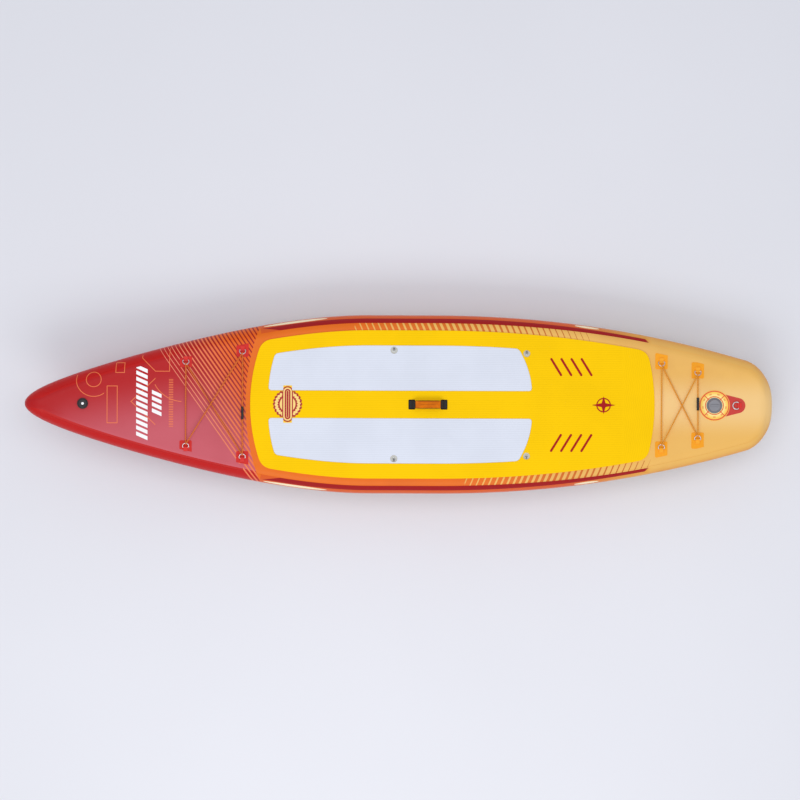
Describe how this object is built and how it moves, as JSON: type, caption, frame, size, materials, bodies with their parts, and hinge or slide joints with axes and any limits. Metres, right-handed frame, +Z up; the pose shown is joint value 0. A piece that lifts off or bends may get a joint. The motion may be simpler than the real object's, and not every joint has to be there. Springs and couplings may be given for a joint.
{
  "type": "stand up paddleboard",
  "caption": "Inflatable touring paddleboard with a pointed nose, foam deck pad, carry handle, bow and stern bungees, inflation valve, leash ring and fins.",
  "frame": {"origin": "centre of the flat hull bottom, halfway between nose and tail", "axes": "+X to the nose, +Y to port, +Z up off the deck"},
  "size_m": [3.5022, 0.8448, 0.4045],
  "materials": {
    "deck_pvc": "satin",
    "bottom_pvc": "satin",
    "rail_pvc": "satin",
    "band_pvc": "satin",
    "nose_pvc": "satin",
    "tail_pvc": "satin",
    "yarn": "matte",
    "pad_yellow": "matte",
    "pad_white": "matte",
    "mark_red": "matte",
    "black_pvc": "satin",
    "black_webbing": "matte",
    "grip_foam": "matte",
    "patch_red": "satin",
    "patch_orange": "satin",
    "steel": "polished",
    "bungee": "matte",
    "black_plastic": "matte",
    "valve_plastic": "satin",
    "cap_plastic": "satin",
    "seal_rubber": "matte",
    "spring_steel": "polished",
    "label_pvc": "satin",
    "fin_plastic": "satin",
    "brass": "satin",
    "fin_rubber": "matte"
  },
  "bodies": {
    "hull": {"deck_skin": "deck_pvc", "bottom_skin": "bottom_pvc", "port_rail": "rail_pvc", "starboard_rail": "rail_pvc", "port_rail_band": "band_pvc", "starboard_rail_band": "band_pvc", "nose_cap": "nose_pvc", "tail_cap": "tail_pvc", "drop_stitch_yarns": "yarn", "deck_pad": "pad_yellow", "port_pad_panel": "pad_white", "starboard_pad_panel": "pad_white", "pad_roundel": "mark_red", "grip_bars": "mark_red", "pad_icon": "mark_red", "handle_anchors": "black_pvc", "handle_web_front": "black_webbing", "handle_web_rear": "black_webbing", "bow_ring_patches": "patch_red", "bow_ring_straps": "patch_red", "bow_rings": "steel", "bow_bungee": "bungee", "bow_cord_joiner": "black_plastic", "stern_ring_patches": "patch_orange", "stern_ring_straps": "patch_orange", "stern_rings": "steel", "stern_bungee": "bungee", "stern_cord_joiner": "black_plastic", "accessory_mount_base": "black_plastic", "accessory_mount_insert": "steel", "valve_base": "valve_plastic", "valve_collar": "valve_plastic", "valve_spring": "spring_steel", "valve_label": "label_pvc", "leash_patch": "patch_red", "leash_ring_strap": "patch_red", "seat_ring_bases": "label_pvc", "seat_ring_straps": "black_webbing", "fin_box": "black_plastic", "fin_box_patch": "black_pvc", "side_fin_bases": "black_pvc", "port_side_fin": "fin_rubber", "starboard_side_fin": "fin_rubber"},
    "carry_handle": {"handle_grip": "grip_foam", "handle_core": "black_webbing"},
    "push_pin": {"valve_pin": "valve_plastic", "valve_seal": "seal_rubber"},
    "cap": {"valve_cap": "cap_plastic", "cap_seal": "seal_rubber"},
    "leash_ring": {"leash_ring": "steel"},
    "seat_ring_1": {"seat_ring_1": "steel"},
    "seat_ring_2": {"seat_ring_2": "steel"},
    "seat_ring_3": {"seat_ring_3": "steel"},
    "seat_ring_4": {"seat_ring_4": "steel"},
    "centre_fin": {"centre_fin": "fin_plastic", "fin_pin": "brass", "fin_nut_plate": "brass"},
    "fin_screw": {"fin_screw": "steel"}
  },
  "joints": [
    {"name": "handle_lift", "type": "slide", "parent": "hull", "child": "carry_handle", "axis": [0, 0, 1], "range_m": [0, 0.012], "deforming": ["handle_web_front", "handle_web_rear"]},
    {"name": "valve_push", "type": "slide", "parent": "hull", "child": "push_pin", "axis": [-0.0512, 0, -0.9987], "range_m": [0, 0.006], "stiffness_N_per_m": 800, "springref_m": -0.004, "deforming": ["valve_spring"]},
    {"name": "cap_lift", "type": "slide", "parent": "hull", "child": "cap", "axis": [0.0512, 0, 0.9987], "range_m": [0, 0.04]},
    {"name": "leash_ring_swing", "type": "hinge", "parent": "hull", "child": "leash_ring", "pos_m": [-1.58263, 0, 0.1733], "axis": [0, -1, 0], "range_deg": [0, 150]},
    {"name": "seat_ring_1_swing", "type": "hinge", "parent": "hull", "child": "seat_ring_1", "pos_m": [0.034, 0.26, 0.1541], "axis": [-1, 0, 0], "range_deg": [0, 100]},
    {"name": "seat_ring_2_swing", "type": "hinge", "parent": "hull", "child": "seat_ring_2", "pos_m": [0.034, -0.26, 0.1541], "axis": [1, 0, 0], "range_deg": [0, 100]},
    {"name": "seat_ring_3_swing", "type": "hinge", "parent": "hull", "child": "seat_ring_3", "pos_m": [-0.59, 0.246, 0.1541], "axis": [-1, 0, 0], "range_deg": [0, 100]},
    {"name": "seat_ring_4_swing", "type": "hinge", "parent": "hull", "child": "seat_ring_4", "pos_m": [-0.59, -0.246, 0.1541], "axis": [1, 0, 0], "range_deg": [0, 100]},
    {"name": "centre_fin_slide", "type": "slide", "parent": "hull", "child": "centre_fin", "axis": [0.9994, 0, -0.0348], "range_m": [-0.03, 0.03]},
    {"name": "fin_screw_turn", "type": "hinge", "parent": "centre_fin", "child": "fin_screw", "pos_m": [-1.28687, 0, -0.02077], "axis": [-0.0348, 0, -0.9994], "range_deg": [-360, 360]}
  ]
}
